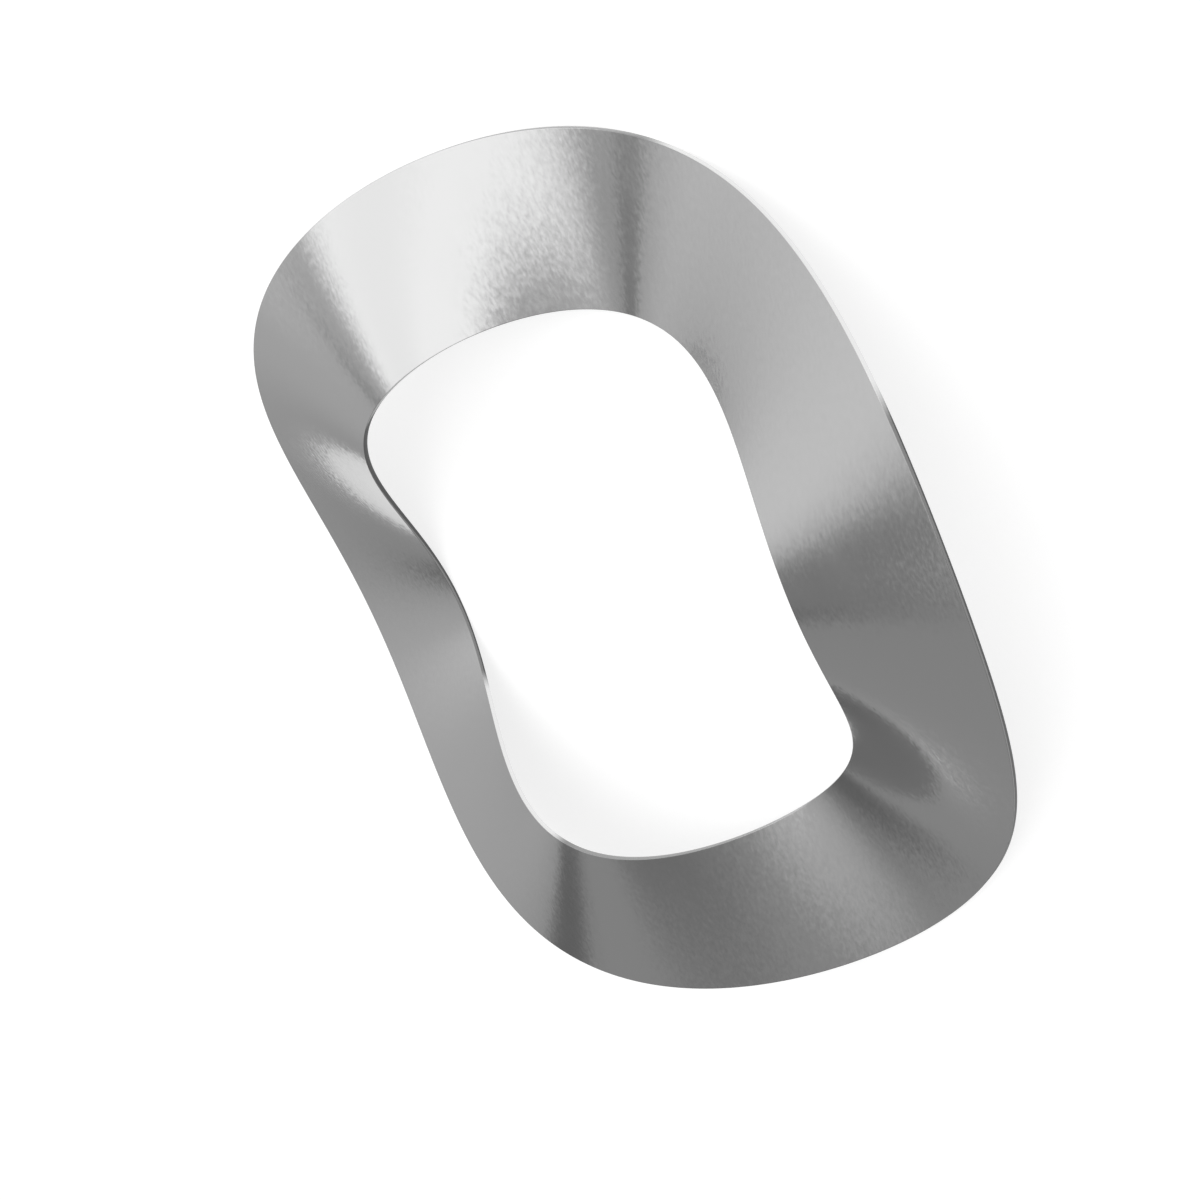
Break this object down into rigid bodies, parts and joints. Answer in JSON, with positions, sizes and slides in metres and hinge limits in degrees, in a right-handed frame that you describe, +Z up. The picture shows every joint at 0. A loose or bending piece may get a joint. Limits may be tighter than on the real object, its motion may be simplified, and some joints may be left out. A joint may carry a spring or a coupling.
{
  "type": "wave spring washer",
  "caption": "Thin spring-steel lock washer: a flat ring formed into even waves around a round bore, resting on its troughs.",
  "frame": {"origin": "centre of the bore, on the plane that the troughs rest on", "axes": "+Z up along the bore axis, +X through one crest"},
  "size_m": [0.026, 0.026, 0.0033],
  "materials": {
    "spring_steel": "bright rolled spring steel strip, stamped and formed, with a faint satin grain"
  },
  "bodies": {
    "root": {"wave_washer": "spring_steel"}
  },
  "joints": []
}
